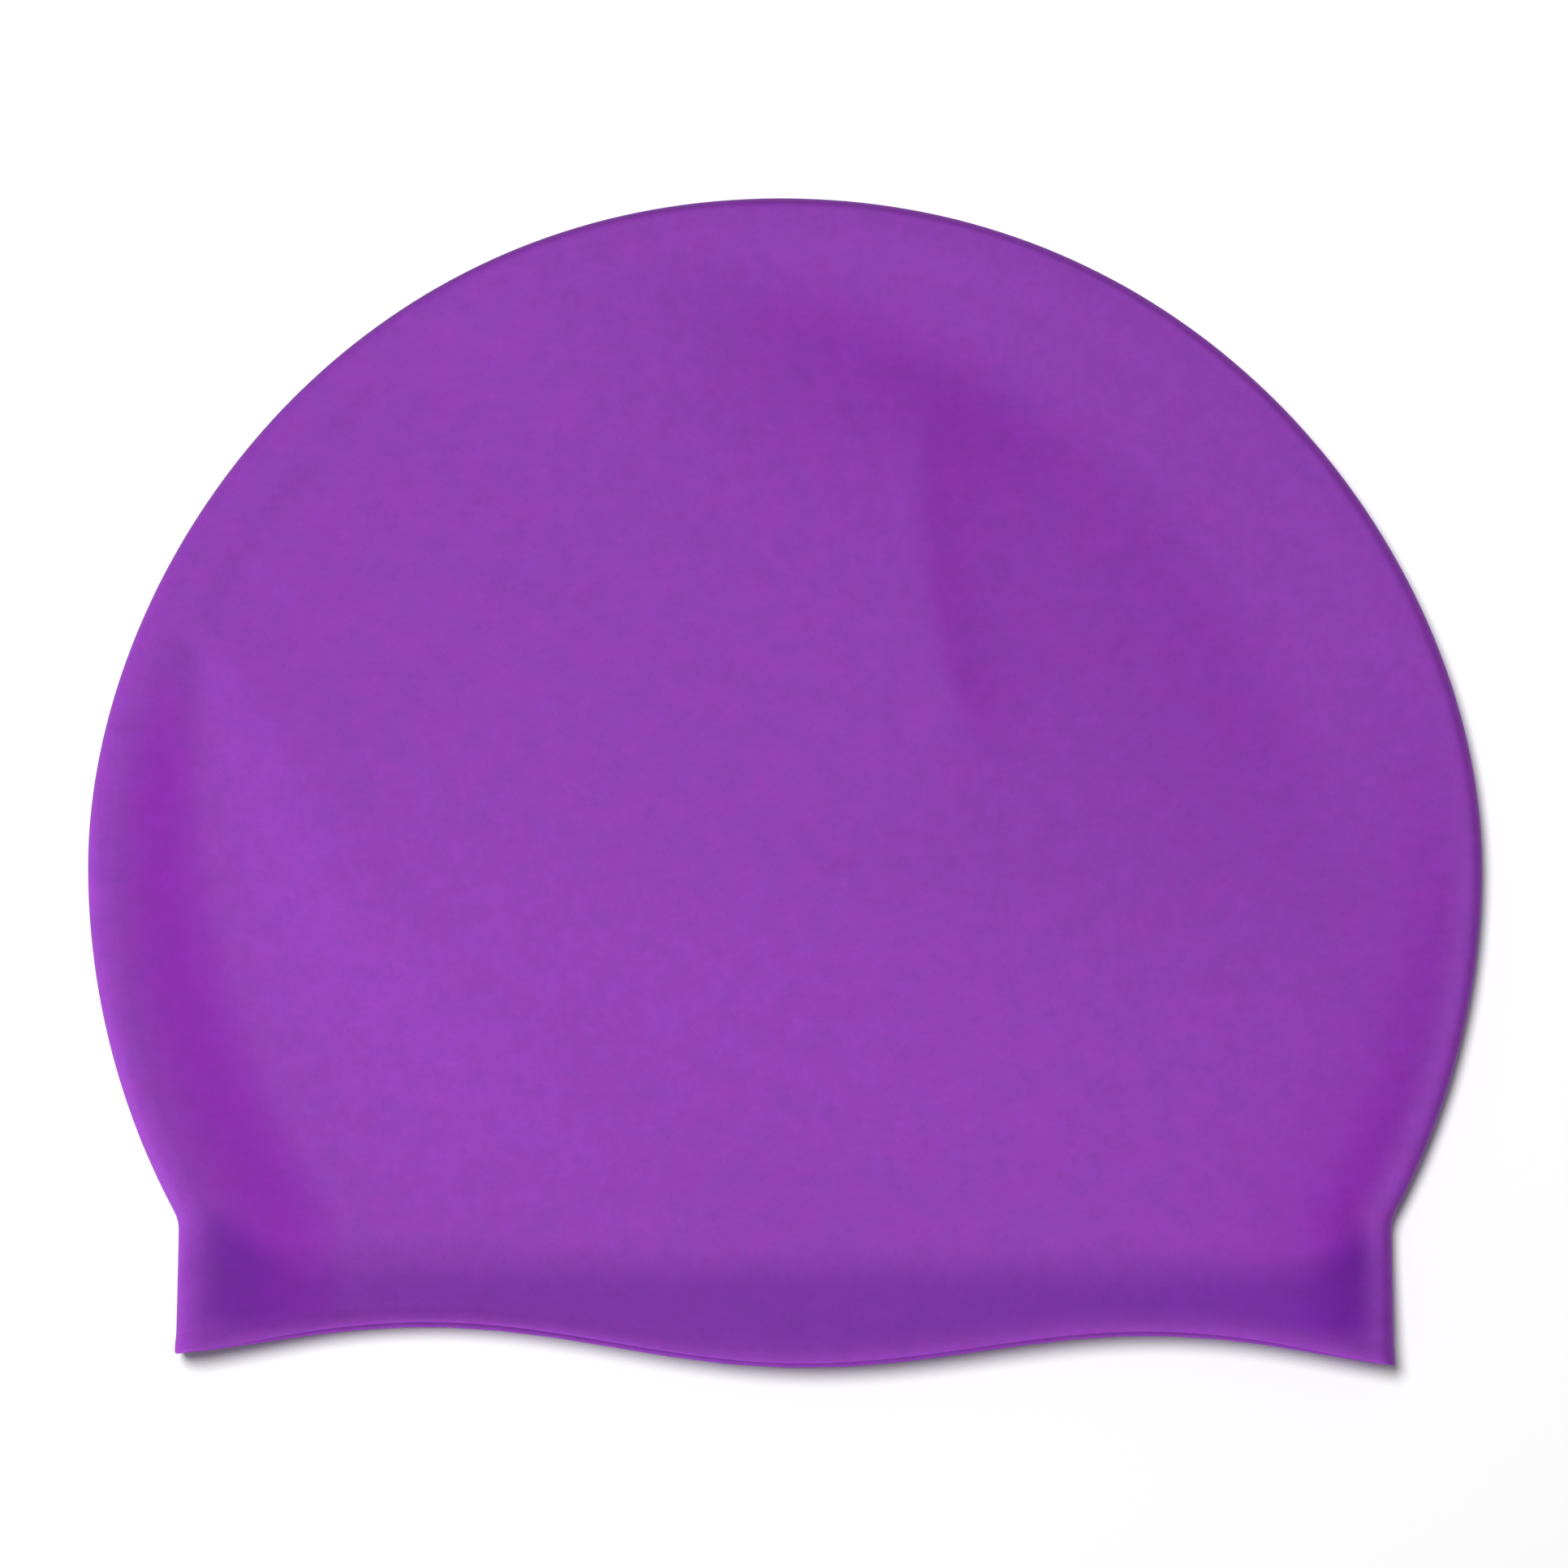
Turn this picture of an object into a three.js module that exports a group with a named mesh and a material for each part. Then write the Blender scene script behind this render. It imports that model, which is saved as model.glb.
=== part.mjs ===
// A silicone swim cap, moulded in one piece, lying flat and empty. The crown
// points towards +Y, the mouth opens towards -Y, +Z is up and the underside
// rests on z = 0. Lengths are in millimetres.

import * as THREE from 'three';
import { mergeVertices } from 'three/addons/utils/BufferGeometryUtils.js';

// Plan outline. It is drawn about the middle of the crown's widest line.
const CROWN_WIDTH = 225;
const CROWN_RISE = 107.9;
const CROWN_LEAN = -0.6;
const CROWN_TOP_HANDLE = 0.63;
const CROWN_SIDE_HANDLE = 0.44;
const LOWER_CROWN_RADIUS = 115.4;
const NECK_INSET = 14.65;
const NECK_ROUNDING = 1.6;
const NECK_LINE_DROP = 50;

// Band and mouth edge, a soft wave with a slight tilt
const BAND_DEPTH = 20.8;
const BAND_FLARE = 0.35;
const HEM_WAVE_HEIGHT = 2.96;
const HEM_WAVE_LENGTH = 117;
const HEM_WAVE_SHIFT = 1.8;
const HEM_TILT_DEG = 0.7;
const LOWER_LIP_REACH = 1;

// Height of the rolled rim, and how far the top layer swells above the rim's
// crest or sinks below it, inside the valley that follows the rim
const RIM_HEIGHT = 7.6;
const CROWN_SWELL = 5.6;
const NECK_LINE_SWELL = 0.3;
const MOUTH_SWELL = 2.6;
const VALLEY_DEPTH = 1.1;
const VALLEY_WIDTH = 21;
const MOUTH_RISE_POWER = 1.6;

// Walls
const WALL = 0.8;
const LIP_THICKNESS = 1.4;
const LIP_WIDTH = 2.4;
const LIP_LIFT = 0.35;
const LIP_ROUNDING = 0.7;

// Rows of the mesh from the mouth edge to the top of the crown, the lip's as
// shares of its width, and columns from the spine of the top layer round the
// rim to the underside
const LIP_ROWS = [0, 0.22, 0.5, 1];
const BAND_ROWS = 5;
const NECK_ROWS = 2;
const LOWER_CROWN_ROWS = 7;
const UPPER_CROWN_ROWS = 16;
const CROWN_COLUMNS = 6;
const VALLEY_COLUMNS = 4;
const ROLL_COLUMNS = 8;
const MERGE_DISTANCE = 1e-3;

// Soft buckles in the top layer. Places are shares of half the crown's width,
// lengths are shares of its width and heights are shares of its swell.
const BUCKLES = [
  { name: 'middle ridge', x: 0.10, y: 0.28, turn: 82, length: 0.20, width: 0.055, height: 0.09 },
  { name: 'hollow beside it', x: 0.29, y: 0.30, turn: 78, length: 0.18, width: 0.050, height: -0.10 },
  { name: 'crown hollow', x: 0.14, y: 0.62, turn: 150, length: 0.12, width: 0.045, height: -0.07 },
  { name: 'right flank fold', x: 0.66, y: 0.28, turn: 110, length: 0.22, width: 0.032, height: -0.09 },
  { name: 'roll outside it', x: 0.76, y: 0.30, turn: 108, length: 0.20, width: 0.028, height: 0.07 },
  { name: 'left flank swelling', x: -0.66, y: 0.02, turn: 68, length: 0.20, width: 0.045, height: 0.07 },
];

const HALF_WIDTH = CROWN_WIDTH / 2;
const HALF_NECK = HALF_WIDTH - NECK_INSET;
const HALF_HEM = HALF_NECK + BAND_FLARE;
const NECK_SIDE_DROP = LOWER_CROWN_RADIUS * Math.sqrt(1 - (HALF_NECK / HALF_WIDTH) ** 2);
const HEM_DROP = NECK_SIDE_DROP + BAND_DEPTH;
const RIM_RADIUS = RIM_HEIGHT / 2;
const VALLEY_END = RIM_RADIUS + VALLEY_WIDTH;

// The outline on the right, from the band's upper end round the neck corner
// and up to the top of the crown
function outlineCurves() {
  const neck = new THREE.Vector2(HALF_NECK, -NECK_SIDE_DROP);
  const hem = new THREE.Vector2(HALF_HEM, -HEM_DROP);
  const bandTop = neck.clone().lerp(hem, NECK_ROUNDING / neck.distanceTo(hem));
  const neckAngle = Math.asin(-(NECK_SIDE_DROP - NECK_ROUNDING) / LOWER_CROWN_RADIUS);
  const lowerCrown = new THREE.EllipseCurve(0, 0, HALF_WIDTH, LOWER_CROWN_RADIUS, neckAngle, 0);
  const upperCrown = new THREE.CubicBezierCurve(
    new THREE.Vector2(HALF_WIDTH, 0),
    new THREE.Vector2(HALF_WIDTH, CROWN_SIDE_HANDLE * CROWN_RISE),
    new THREE.Vector2(CROWN_TOP_HANDLE * HALF_WIDTH, CROWN_RISE),
    new THREE.Vector2(0, CROWN_RISE),
  );
  const neckCorner = new THREE.QuadraticBezierCurve(bandTop, neck, lowerCrown.getPoint(0));
  return { neckCorner, lowerCrown, upperCrown };
}

// One row: its place on the outline, the way inwards, and its spine point
function makeRow(curve, share, side, spineY) {
  const point = curve.getPoint(share);
  const tangent = curve.getTangent(share);
  const lean = CROWN_LEAN * Math.max(0, point.y / CROWN_RISE) ** 2;
  return {
    side,
    edge: new THREE.Vector2(side * point.x + lean, point.y),
    inward: new THREE.Vector2(-side * tangent.y, tangent.x),
    spine: new THREE.Vector2(0, spineY(point.y)),
  };
}

// All rows of one side from the neck line to the top of the crown. Those below
// the widest line run to a spine down the middle, the others fan to its end.
function crownRows(side) {
  const curves = outlineCurves();
  const ladder = (y) => Math.min(0, y) * NECK_LINE_DROP / NECK_SIDE_DROP;
  const rows = [];
  for (let i = 0; i <= NECK_ROWS; i += 1) {
    rows.push(makeRow(curves.neckCorner, i / NECK_ROWS, side, ladder));
  }
  for (let i = 1; i <= LOWER_CROWN_ROWS; i += 1) {
    rows.push(makeRow(curves.lowerCrown, i / LOWER_CROWN_ROWS, side, ladder));
  }
  for (let i = 1; i <= UPPER_CROWN_ROWS; i += 1) {
    rows.push(makeRow(curves.upperCrown, i / UPPER_CROWN_ROWS, side, () => 0));
  }
  return rows;
}

// Distances back from the mouth edge at which the band has its rows
function bandSetbacks() {
  const setbacks = LIP_ROWS.map((share) => share * LIP_WIDTH);
  for (let i = 1; i < BAND_ROWS; i += 1) {
    setbacks.push(THREE.MathUtils.lerp(LIP_WIDTH, HEM_DROP - NECK_LINE_DROP, i / BAND_ROWS));
  }
  return setbacks;
}

function smoothstep(value) {
  return THREE.MathUtils.smoothstep(value, 0, 1);
}

// Where a crown row's line lies in plan, a given distance in from the rim
function crownPlan(row, inset) {
  const reach = row.edge.distanceTo(row.spine);
  const offset = row.edge.clone().addScaledVector(row.inward, inset);
  const straight = row.edge.clone().lerp(row.spine, inset / reach);
  return offset.lerp(straight, smoothstep(inset / VALLEY_END));
}

// The mouth edge's y at x. Its lower lip, where turn is -1, reaches further.
function hemLine(x, turn) {
  const wave = HEM_WAVE_HEIGHT * Math.cos(2 * Math.PI * (x - HEM_WAVE_SHIFT) / HEM_WAVE_LENGTH);
  const tilt = x * Math.tan(THREE.MathUtils.degToRad(HEM_TILT_DEG));
  return -HEM_DROP - wave - tilt - LOWER_LIP_REACH * (1 - turn) / 2;
}

// Swell of the top layer along the spine, from mid crown to the mouth. band is
// 0 at the neck line and 1 at the mouth edge.
function spineSwell(band, spineY) {
  const fall = smoothstep(-spineY / NECK_LINE_DROP);
  const crown = THREE.MathUtils.lerp(CROWN_SWELL, NECK_LINE_SWELL, fall);
  return THREE.MathUtils.lerp(crown, MOUTH_SWELL, band ** MOUTH_RISE_POWER);
}

function buckleHeight(x, y) {
  let height = 0;
  for (const buckle of BUCKLES) {
    const turn = THREE.MathUtils.degToRad(buckle.turn);
    const dx = x - buckle.x * HALF_WIDTH;
    const dy = y - buckle.y * HALF_WIDTH;
    const along = (dx * Math.cos(turn) + dy * Math.sin(turn)) / (buckle.length * CROWN_WIDTH);
    const across = (dy * Math.cos(turn) - dx * Math.sin(turn)) / (buckle.width * CROWN_WIDTH);
    height += buckle.height * CROWN_SWELL * Math.exp(-(along ** 2) - across ** 2);
  }
  return height;
}

// The columns of one row: how far in from the rim, and the turn of the roll,
// from 1 on the top layer through 0 at the outermost line to -1 underneath.
function makeColumns(reach) {
  const insets = [];
  for (let i = 0; i < CROWN_COLUMNS; i += 1) {
    insets.push(THREE.MathUtils.lerp(reach, VALLEY_END, i / CROWN_COLUMNS));
  }
  for (let i = 0; i < VALLEY_COLUMNS; i += 1) {
    insets.push(THREE.MathUtils.lerp(VALLEY_END, RIM_RADIUS, i / VALLEY_COLUMNS));
  }
  const roll = [];
  for (let i = 0; i <= ROLL_COLUMNS; i += 1) {
    const angle = Math.PI * (0.5 - i / ROLL_COLUMNS);
    roll.push({ inset: RIM_RADIUS * (1 - Math.cos(angle)), turn: Math.sin(angle) });
  }
  const top = insets.map((inset) => ({ inset, turn: 1 }));
  const underside = insets.toReversed().map((inset) => ({ inset, turn: -1 }));
  return [...top, ...roll, ...underside];
}

// Height of the top layer inside the roll
function topHeight(row, plan, inset, reach, band) {
  const across = (inset - RIM_RADIUS) / (reach - RIM_RADIUS);
  const fromRim = (inset - RIM_RADIUS) / VALLEY_WIDTH;
  const swell = spineSwell(band, row.spine.y) * (1 - (1 - across) ** 2);
  const valley = VALLEY_DEPTH * Math.sin(Math.PI * Math.min(1, fromRim)) ** 2;
  const buckles = smoothstep(fromRim) * buckleHeight(plan.x, plan.y);
  return RIM_HEIGHT + swell + (buckles - valley) * (1 - band ** 2);
}

// How far the lip's outermost edge is rounded off
function lipRounding(setback) {
  return LIP_ROUNDING * (1 - Math.min(1, setback / LIP_WIDTH)) ** 6;
}

// The mouth's lip is a low bead with a rounded edge
function lipLift(setback) {
  const share = Math.min(1, setback / LIP_WIDTH);
  return LIP_LIFT * Math.sin(Math.PI * share) - lipRounding(setback);
}

// The wall is thickest at the lip and thins over twice the lip's width
function wallAt(setback) {
  const bulk = THREE.MathUtils.lerp(LIP_THICKNESS, WALL, smoothstep(setback / (2 * LIP_WIDTH)));
  return bulk - lipRounding(setback);
}

// A point of the outer skin, with the wall's thickness behind it. Band rows
// lie between the mouth edge and the crown's lowest row.
function skinPoint(row, column, setback) {
  const reach = row.edge.distanceTo(row.spine);
  const band = 1 - setback / (HEM_DROP - NECK_LINE_DROP);
  const hemX = row.side * HALF_HEM * (1 - column.inset / reach);
  const hem = new THREE.Vector2(hemX, hemLine(hemX, column.turn));
  const plan = crownPlan(row, column.inset).lerp(hem, band);
  const height = column.turn === 1
    ? topHeight(row, plan, column.inset, reach, band)
    : RIM_RADIUS * (1 + column.turn);
  const lift = lipLift(setback) * (1 + column.turn) / 2;
  const sideways = row.side * Math.sqrt(1 - column.turn ** 2);
  return {
    point: new THREE.Vector3(plan.x + sideways * lift, plan.y, height + column.turn * lift),
    wall: wallAt(setback),
  };
}

// The skin of one side, as rows of points from the mouth edge to the crown top
function sideSkin(side) {
  const crown = crownRows(side);
  const skinRow = (row, setback) => (
    makeColumns(row.edge.distanceTo(row.spine)).map((column) => skinPoint(row, column, setback))
  );
  const band = bandSetbacks().map((setback) => skinRow(crown[0], setback));
  return [...band, ...crown.map((row) => skinRow(row, HEM_DROP - NECK_LINE_DROP))];
}

// Adds a triangle unless two of its corners meet, as they do at the fan's end
function addTriangle(list, a, b, c) {
  const corners = [a, b, c];
  const meets = corners.some((corner, k) => (
    corner.point.distanceTo(corners[(k + 1) % 3].point) < MERGE_DISTANCE
  ));
  if (!meets) {
    list.push(...corners);
  }
}

// Both sides as one open sheet with merged vertices and a wall at each
function capSheet() {
  const corners = [];
  for (const side of [1, -1]) {
    const rows = sideSkin(side);
    for (let i = 0; i + 1 < rows.length; i += 1) {
      for (let j = 0; j + 1 < rows[i].length; j += 1) {
        const [a, b, c, d] = [rows[i][j], rows[i][j + 1], rows[i + 1][j + 1], rows[i + 1][j]];
        const turned = side > 0 ? [a, b, c, d] : [d, c, b, a];
        addTriangle(corners, turned[0], turned[1], turned[2]);
        addTriangle(corners, turned[0], turned[2], turned[3]);
      }
    }
  }
  const sheet = new THREE.BufferGeometry();
  sheet.setAttribute('position', new THREE.Float32BufferAttribute(
    corners.flatMap((corner) => corner.point.toArray()), 3,
  ));
  sheet.setAttribute('wall', new THREE.Float32BufferAttribute(corners.map((corner) => corner.wall), 1));
  const merged = mergeVertices(sheet, MERGE_DISTANCE);
  merged.computeVertexNormals();
  return merged;
}

// The edges that only one triangle has, in that triangle's own direction
function openEdges(index) {
  const seen = new Map();
  for (let i = 0; i < index.count; i += 3) {
    for (let k = 0; k < 3; k += 1) {
      const from = index.getX(i + k);
      const to = index.getX(i + (k + 1) % 3);
      if (!seen.delete(`${to} ${from}`)) {
        seen.set(`${from} ${to}`, [from, to]);
      }
    }
  }
  return [...seen.values()];
}

// Gives an open sheet its wall inwards and closes the wall's edge
function thicken(sheet) {
  const outer = sheet.getAttribute('position');
  const normal = sheet.getAttribute('normal');
  const wall = sheet.getAttribute('wall');
  const count = outer.count;
  const positions = Array.from(outer.array);
  for (let i = 0; i < count; i += 1) {
    const inner = new THREE.Vector3().fromBufferAttribute(outer, i);
    inner.addScaledVector(new THREE.Vector3().fromBufferAttribute(normal, i), -wall.getX(i));
    positions.push(inner.x, inner.y, inner.z);
  }
  const faces = Array.from(sheet.index.array);
  for (let i = 0; i < sheet.index.count; i += 3) {
    const [a, b, c] = [0, 1, 2].map((k) => sheet.index.getX(i + k) + count);
    faces.push(a, c, b);
  }
  for (const [from, to] of openEdges(sheet.index)) {
    faces.push(from, from + count, to + count);
    faces.push(from, to + count, to);
  }
  const solid = new THREE.BufferGeometry();
  solid.setAttribute('position', new THREE.Float32BufferAttribute(positions, 3));
  solid.setIndex(faces);
  return solid;
}

// Moves the solid so that its box stands centred on z = 0
function centreOnFloor(geometry) {
  geometry.computeBoundingBox();
  const middle = geometry.boundingBox.getCenter(new THREE.Vector3());
  geometry.translate(-middle.x, -middle.y, -geometry.boundingBox.min.z);
  geometry.computeVertexNormals();
  return geometry;
}

const silicone = new THREE.MeshStandardMaterial({ color: 0x9040b4, roughness: 0.55, metalness: 0 });

const capShell = new THREE.Mesh(centreOnFloor(thicken(capSheet())), silicone);
capShell.name = 'cap_shell';

const group = new THREE.Group();
group.add(capShell);

export default group;
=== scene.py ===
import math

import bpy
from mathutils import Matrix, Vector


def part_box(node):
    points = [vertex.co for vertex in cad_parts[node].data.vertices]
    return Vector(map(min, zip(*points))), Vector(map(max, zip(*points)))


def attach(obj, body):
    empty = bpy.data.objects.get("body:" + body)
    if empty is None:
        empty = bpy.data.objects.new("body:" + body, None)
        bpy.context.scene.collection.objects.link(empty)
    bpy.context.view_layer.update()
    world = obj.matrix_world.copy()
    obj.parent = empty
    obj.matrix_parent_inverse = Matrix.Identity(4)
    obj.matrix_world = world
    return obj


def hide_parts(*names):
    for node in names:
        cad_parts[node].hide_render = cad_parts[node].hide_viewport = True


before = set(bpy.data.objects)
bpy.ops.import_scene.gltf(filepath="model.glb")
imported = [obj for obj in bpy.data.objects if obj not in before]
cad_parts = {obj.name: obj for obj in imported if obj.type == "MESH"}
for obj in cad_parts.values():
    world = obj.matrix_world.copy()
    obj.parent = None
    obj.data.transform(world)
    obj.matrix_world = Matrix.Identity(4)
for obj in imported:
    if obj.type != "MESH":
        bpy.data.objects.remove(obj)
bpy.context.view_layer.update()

# A silicone swim cap, moulded in one piece, lying flat and empty in a plain
# studio. The crown points towards +Y and the mouth opens towards -Y. All
# lengths are in metres and in the frame's own coordinates.

bl_info = {
    "name": "Swim Cap",
    "version": (1, 0, 0),
    "blender": (4, 5, 0),
    "location": "View3D > Sidebar > Swim Cap",
    "description": "Builds a moulded silicone swim cap and the studio it lies in",
    "category": "Object",
}

MM = 0.001
SHELL_LOW, SHELL_HIGH = (Vector(corner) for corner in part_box("cap_shell"))

# Points on each Bezier stretch of the outline
OUTLINE_STEPS = 64


# Soft creases in the top layer, each along an arc round its own centre.
# Centres are given from the middle of the widest line. They, radii and widths
# are shares of half the crown's width, starts and ends are bearings from the
# centre in degrees, and heights are shares of the crown's swell. "inside" and
# "outside" say how far a crease spreads towards its centre and away from it,
# "soft" how rounded its line is, and the last column how much painted shade
# darkens and deepens the colour on its inner side.
CREASES = (
    # Terrace round the upper right
    {"x": -0.28, "y": -0.21, "radius": 1.08, "start": 3, "end": 90,
     "inside": 0.17, "outside": 0.10, "soft": 0.05, "height": -0.17, "rich": 0.45},
    # Fold in the upper middle
    {"x": 1.06, "y": 0.53, "radius": 0.865, "start": 166, "end": 210,
     "inside": 0.08, "outside": 0.25, "soft": 0.016, "height": 0.20, "rich": 0.5},
    # Hollow below the top
    {"x": -0.28, "y": -0.21, "radius": 1.05, "start": 46, "end": 84,
     "inside": 0.08, "outside": 0.05, "soft": 0.03, "height": -0.04, "rich": 0.2},
    # Swelling on the left flank
    {"x": 1.20, "y": 0.55, "radius": 1.93, "start": 181, "end": 204,
     "inside": 0.10, "outside": 0.08, "soft": 0.015, "height": 0.045, "rich": 0.0},
    # Groove round the upper left
    {"x": 0.0, "y": 0.0, "radius": 0.86, "start": 112, "end": 168,
     "inside": 0.10, "outside": 0.07, "soft": 0.03, "height": -0.22, "rich": 0.0},
)

# Studio lights. Bearings are in degrees round from +X, heights in degrees up
# from the floor, distances and sizes in metres. Each light falls on the cap
# or on the floor alone.
LIGHTS = (
    {"name": "Overhead Softbox", "on": "cap", "bearing": 90, "height": 86,
     "away": 1.5, "size": 1.0, "watts": 13.3},
    {"name": "Relief Light", "on": "cap", "bearing": 218, "height": 24,
     "away": 2.5, "size": 0.5, "watts": 60.0},
    {"name": "Shadow Light", "on": "floor", "bearing": 128, "height": 73,
     "away": 1.5, "size": 0.5, "watts": 24.0},
)

# How fine the noise in the colour and in the grain is
COLOUR_DETAIL = {"Detail": 5.0, "Roughness": 0.85}
GRAIN_DETAIL = {"Detail": 2.0, "Roughness": 0.6}

# How strongly the clouds stand out, and how far the mottling varies how matt
# the surface is
CLOUD_CONTRAST = 2.5
ROUGHNESS_SPREAD = 0.2

# How strong and how deep the grain is, and how the silicone reflects
GRAIN_STRENGTH = 0.18
GRAIN_DEPTH = 0.05 * MM
SILICONE_IOR = 1.41
SILICONE_SPECULAR = 0.12

# How the floor reflects
FLOOR_ROUGHNESS = 0.9
FLOOR_SPECULAR = 0.1

# The nearest and the farthest that the camera sees, as shares of its distance
# and of the floor's size
NEAR_CLIP = 0.1
FAR_CLIP = 2


def length_property(name, description, default):
    """A length in metres that the user may set."""
    return bpy.props.FloatProperty(name=name, description=description, default=default, min=0.0,
                                   unit="LENGTH", subtype="DISTANCE", precision=5)


def offset_property(name, description, default):
    """A length in metres that may point either way."""
    return bpy.props.FloatProperty(name=name, description=description, default=default,
                                   unit="LENGTH", subtype="DISTANCE", precision=5)


def share_property(name, description, default):
    """A plain number, 0 or above, that the user may set."""
    return bpy.props.FloatProperty(name=name, description=description, default=default, min=0.0)


def colour_property(name, description, default):
    """A colour that the user may set."""
    return bpy.props.FloatVectorProperty(name=name, description=description, subtype="COLOR", size=3,
                                         min=0.0, max=1.0, default=default)


class CapSizes(bpy.types.PropertyGroup):
    """Sizes of the moulded shell."""

    crown_width: length_property(
        "Crown width", "Across the crown's widest line", SHELL_HIGH.x - SHELL_LOW.x)
    crown_rise: length_property(
        "Crown rise", "From the widest line up to the top of the crown", 107.9 * MM)
    crown_lean: offset_property(
        "Crown lean", "How far the top of the crown lies to the right", -0.6 * MM)
    crown_top_handle: share_property(
        "Crown top handle", "How flat the outline is at the top", 0.63)
    crown_side_handle: share_property(
        "Crown side handle", "How straight the outline is at the sides", 0.44)
    lower_crown_radius: length_property(
        "Lower crown radius", "Upright radius of the outline below the widest line", 115.4 * MM)
    neck_inset: length_property(
        "Neck inset", "How far the neck lies inside the widest line", 14.65 * MM)
    neck_rounding: length_property(
        "Neck rounding", "How far the neck's corner is rounded each way", 1.6 * MM)
    neck_line_drop: length_property(
        "Neck line drop", "From the widest line down to the middle of the neck line", 50 * MM)
    band_depth: length_property(
        "Band depth", "From the neck down to the mouth's corner", 20.8 * MM)
    band_flare: length_property(
        "Band flare", "How far the band widens down to the mouth", 0.35 * MM)
    wave_height: length_property(
        "Wave height", "Height of the mouth edge's wave over its middle line", 2.96 * MM)
    wave_length: length_property(
        "Wave length", "Length of one wave of the mouth edge", 117 * MM)
    wave_shift: offset_property(
        "Wave shift", "How far the wave's middle lies to the right", 1.8 * MM)
    mouth_tilt: bpy.props.FloatProperty(
        name="Mouth tilt", description="How far the mouth edge tilts down to the right",
        default=math.radians(0.7), unit="ROTATION", subtype="ANGLE")
    lower_lip_reach: length_property(
        "Lower lip reach", "How far the lower lip reaches past the upper one at the corners", 0.55 * MM)
    upper_lip_setback: length_property(
        "Upper lip setback", "How much further back the upper lip lies in the middle", 0.9 * MM)
    rim_height: length_property(
        "Rim height", "Height of the rolled rim", 7.6 * MM)
    rim_width_left: length_property(
        "Rim width, left", "From the outline in to the rim's crest, on the left", 4.4 * MM)
    rim_width_right: length_property(
        "Rim width, right", "From the outline in to the rim's crest, on the right", 3.2 * MM)
    rim_squareness: share_property(
        "Rim squareness", "1 for a rim of oval section, below 1 for a squarer one", 0.67)
    rim_width_top: length_property(
        "Rim width, top", "From the outline in to the rim's crest, at the top", 2.1 * MM)
    crown_swell: length_property(
        "Crown swell", "How far the middle of the crown rises above the rim", 5.6 * MM)
    neck_line_swell: length_property(
        "Neck line swell", "How far the middle of the neck line rises above the rim", 0.3 * MM)
    mouth_swell: length_property(
        "Mouth swell", "How far the middle of the upper lip rises above its ends", 0.5 * MM)
    mouth_rise: length_property(
        "Mouth rise", "How much higher the band stands at the mouth than at the neck", 2.3 * MM)
    band_bend: length_property(
        "Band bend", "From the widest line down to where the band starts to rise", 61 * MM)
    valley_start: length_property(
        "Valley start", "How far above the widest line the valley inside the left rim starts", 42 * MM)
    valley_depth: length_property(
        "Valley depth", "Depth of the valley inside the left rim, at the neck", 2.25 * MM)
    valley_width: length_property(
        "Valley width", "From the left rim's crest to the bottom of the valley, at the neck", 22.5 * MM)
    shoulder_height: length_property(
        "Shoulder height", "Height of the shoulder inside the right rim, at the neck", 2.0 * MM)
    shoulder_width: length_property(
        "Shoulder width", "From the right rim's crest to half the shoulder's height", 5.5 * MM)
    wall: length_property(
        "Wall", "Thickness of the silicone", 0.8 * MM)
    lip_thickness: length_property(
        "Lip thickness", "Thickness of the mouth's lip", 1.2 * MM)
    lip_width: length_property(
        "Lip width", "Width of the bead on the mouth's lip", 3.2 * MM)
    lip_lift: length_property(
        "Lip lift", "How far the bead stands proud", 0.26 * MM)
    lip_rounding: length_property(
        "Lip rounding", "Radius of the lip's edges", 0.45 * MM)
    rows: bpy.props.IntProperty(
        name="Rows", description="Points along the outline, from corner to corner", default=331, min=21)
    columns: bpy.props.IntProperty(
        name="Columns", description="Points from the top layer's spine round to the underside's",
        default=131, min=21)


class SiliconeLook(bpy.types.PropertyGroup):
    """Colours and finish of the silicone, and the colours of its painted shade."""

    body: colour_property("Body", "Colour of the silicone", (0.243, 0.042, 0.396))
    warm: colour_property("Warm clouds", "Colour of the warmer clouds in it", (0.257, 0.040, 0.388))
    cool: colour_property("Cool clouds", "Colour of the cooler clouds in it", (0.229, 0.044, 0.404))
    # Painted shade: the band colour darkens the band from its bend on, most in its corners beside the rim.
    band: colour_property("Band", "Colour of the band, where the silicone is thicker", (0.160, 0.022, 0.325))
    # Painted shade: this tint darkens and deepens the colour in the hollows beside the rim and on the shaded
    # side of the creases.
    shade_tint: colour_property("Hollow", "Tint of the hollows, where the colour is richer", (0.97, 0.52, 0.98))
    roughness: share_property("Roughness", "How matt the surface is", 0.58)
    cloud_size: length_property("Cloud size", "Size of the faint clouds in the colour", 6 * MM)
    mottle_size: length_property("Mottle size", "Size of the largest specks of the fine mottling", 4 * MM)
    mottling: share_property("Mottling", "How strongly the surface is mottled", 0.45)
    grain_size: length_property("Grain size", "Size of the mould's fine grain", 0.5 * MM)


class StudioSettings(bpy.types.PropertyGroup):
    """Floor, camera and surroundings."""

    floor: colour_property("Floor", "Colour of the floor", (0.9, 0.9, 0.9))
    floor_size: length_property("Floor size", "Length of the floor's sides", 8.0)
    sky: share_property("Sky", "Brightness of the even light all round", 0.19)
    view_width: length_property("View width", "Width that the camera sees, at the rim's height", 253.3 * MM)
    view_middle_x: offset_property("View middle X", "Where the camera looks, across the cap", -0.15 * MM)
    view_middle_y: offset_property("View middle Y", "Where the camera looks, along the cap", 0.27 * MM)
    lens: bpy.props.FloatProperty(name="Lens", description="Focal length", default=135.0, unit="CAMERA")


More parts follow.
